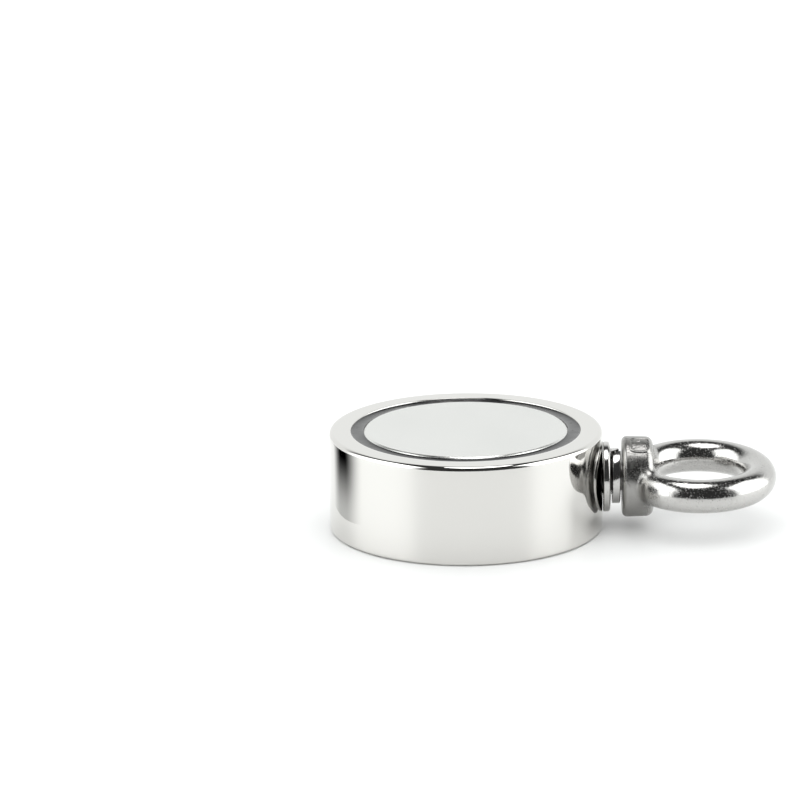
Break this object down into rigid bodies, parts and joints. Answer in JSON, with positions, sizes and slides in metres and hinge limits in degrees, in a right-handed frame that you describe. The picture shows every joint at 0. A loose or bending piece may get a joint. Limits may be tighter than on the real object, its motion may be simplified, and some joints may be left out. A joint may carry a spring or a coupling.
{
  "type": "magnet fishing magnet",
  "caption": "Double-sided round pot magnet: a polished steel body with a disc magnet set in resin in each face, and a threaded eye bolt with washers in its side.",
  "frame": {"origin": "centre of the lower magnet face, which is the face it lies on", "axes": "+Z is the axis of the round body, from the lower face to the upper face; +X runs out of the side of the body along the eye bolt"},
  "size_m": [0.1308, 0.08, 0.0295],
  "materials": {
    "mirror_nickel": "mirror-polished nickel plate",
    "satin_nickel": "satin nickel plate",
    "stainless": "forged and tumbled stainless steel, satin",
    "washer_steel": "bright stamped stainless steel",
    "black_resin": "glossy poured resin",
    "clear_adhesive": "cured adhesive, hidden"
  },
  "bodies": {
    "magnet": {"steel_body": "mirror_nickel", "magnet_upper": "satin_nickel", "magnet_lower": "satin_nickel", "bond_upper": "clear_adhesive", "bond_lower": "clear_adhesive", "potting_upper": "black_resin", "potting_lower": "black_resin"},
    "washers": {"flat_washer": "washer_steel", "spring_washer": "washer_steel"},
    "eye": {"eye_bolt": "stainless"}
  },
  "joints": [
    {"name": "bolt_advance", "type": "slide", "parent": "magnet", "child": "washers", "axis": [1, 0, 0], "range_m": [0, 0.01125]},
    {"name": "bolt_turn", "type": "hinge", "parent": "washers", "child": "eye", "pos_m": [0.04, 0, 0.01475], "axis": [1, 0, 0], "range_deg": [0, 2705]}
  ],
  "couplings": [
    {"joint": "bolt_turn", "follows": "bolt_advance", "rad_per_m": 4188.8}
  ]
}
